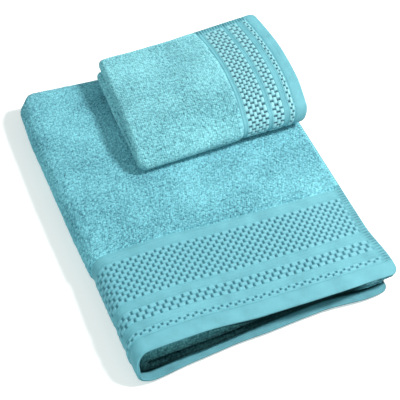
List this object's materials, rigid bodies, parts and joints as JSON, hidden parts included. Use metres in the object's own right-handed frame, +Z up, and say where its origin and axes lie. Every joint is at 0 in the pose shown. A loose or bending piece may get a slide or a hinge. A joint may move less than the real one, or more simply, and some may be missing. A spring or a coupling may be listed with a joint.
{
  "type": "folded towel set",
  "caption": "Folded terry bath towel with a matching hand towel folded on top, both with basket-weave border bands and smooth turned hems.",
  "frame": {"origin": "centre of the folded bath towel's underside, on the surface it lies on", "axes": "+Z up through the stack, +Y from the bath towel's hem to its crosswise fold at the back, +X from its long fold to its open selvedges"},
  "size_m": [0.3685, 0.4755, 0.0753],
  "materials": {
    "terry": "looped terry pile",
    "smooth_weave": "flat satin weave",
    "basket_pads": "raised basket weave",
    "thread": "sewing thread",
    "inner_terry": "looped terry pile"
  },
  "bodies": {
    "bath_top_half": {"bath_top_terry": "terry", "bath_top_border": "smooth_weave", "bath_top_wide_band": "basket_pads", "bath_top_narrow_band": "basket_pads", "bath_top_bead_row": "basket_pads", "bath_top_hem": "smooth_weave", "bath_top_hem_stitches": "thread", "bath_top_tucked_third": "inner_terry", "bath_top_middle_third": "inner_terry", "bath_top_front_roll": "inner_terry", "bath_top_back_fold": "terry", "bath_top_selvedge": "smooth_weave"},
    "bath_base_half": {"bath_base_terry": "terry", "bath_base_border": "smooth_weave", "bath_base_wide_band": "basket_pads", "bath_base_narrow_band": "basket_pads", "bath_base_bead_row": "basket_pads", "bath_base_hem": "smooth_weave", "bath_base_hem_stitches": "thread", "bath_base_tucked_third": "inner_terry", "bath_base_middle_third": "inner_terry", "bath_base_front_roll": "inner_terry", "bath_base_back_fold": "terry", "bath_base_selvedge": "smooth_weave", "bath_fold_terry": "terry", "bath_fold_border": "smooth_weave", "bath_fold_core": "inner_terry"},
    "hand_top_half": {"hand_top_terry": "terry", "hand_top_border": "smooth_weave", "hand_top_wide_band": "basket_pads", "hand_top_narrow_band": "basket_pads", "hand_top_bead_row": "basket_pads", "hand_top_hem": "smooth_weave", "hand_top_hem_stitches": "thread", "hand_top_tucked_third": "inner_terry", "hand_top_middle_third": "inner_terry", "hand_top_front_roll": "inner_terry", "hand_top_back_fold": "terry", "hand_top_selvedge": "smooth_weave"},
    "hand_base_half": {"hand_base_terry": "terry", "hand_base_border": "smooth_weave", "hand_base_wide_band": "basket_pads", "hand_base_narrow_band": "basket_pads", "hand_base_bead_row": "basket_pads", "hand_base_hem": "smooth_weave", "hand_base_hem_stitches": "thread", "hand_base_tucked_third": "inner_terry", "hand_base_middle_third": "inner_terry", "hand_base_front_roll": "inner_terry", "hand_base_back_fold": "terry", "hand_base_selvedge": "smooth_weave", "hand_fold_terry": "terry", "hand_fold_border": "smooth_weave", "hand_fold_core": "inner_terry"}
  },
  "joints": [
    {"name": "bath_unfold", "type": "hinge", "parent": "bath_base_half", "child": "bath_top_half", "pos_m": [-0.15625, 0, 0.01875], "axis": [0, -1, 0], "range_deg": [0, 35], "deforming": ["bath_fold_terry", "bath_fold_border", "bath_fold_core"]},
    {"name": "hand_lift", "type": "slide", "parent": "bath_top_half", "child": "hand_base_half", "axis": [0, 0, 1], "range_m": [0, 0.12]},
    {"name": "hand_unfold", "type": "hinge", "parent": "hand_base_half", "child": "hand_top_half", "pos_m": [0.06335, 0.04346, 0.05655], "axis": [0.9998, -0.0175, 0], "range_deg": [0, 170], "deforming": ["hand_fold_terry", "hand_fold_border", "hand_fold_core"]}
  ]
}
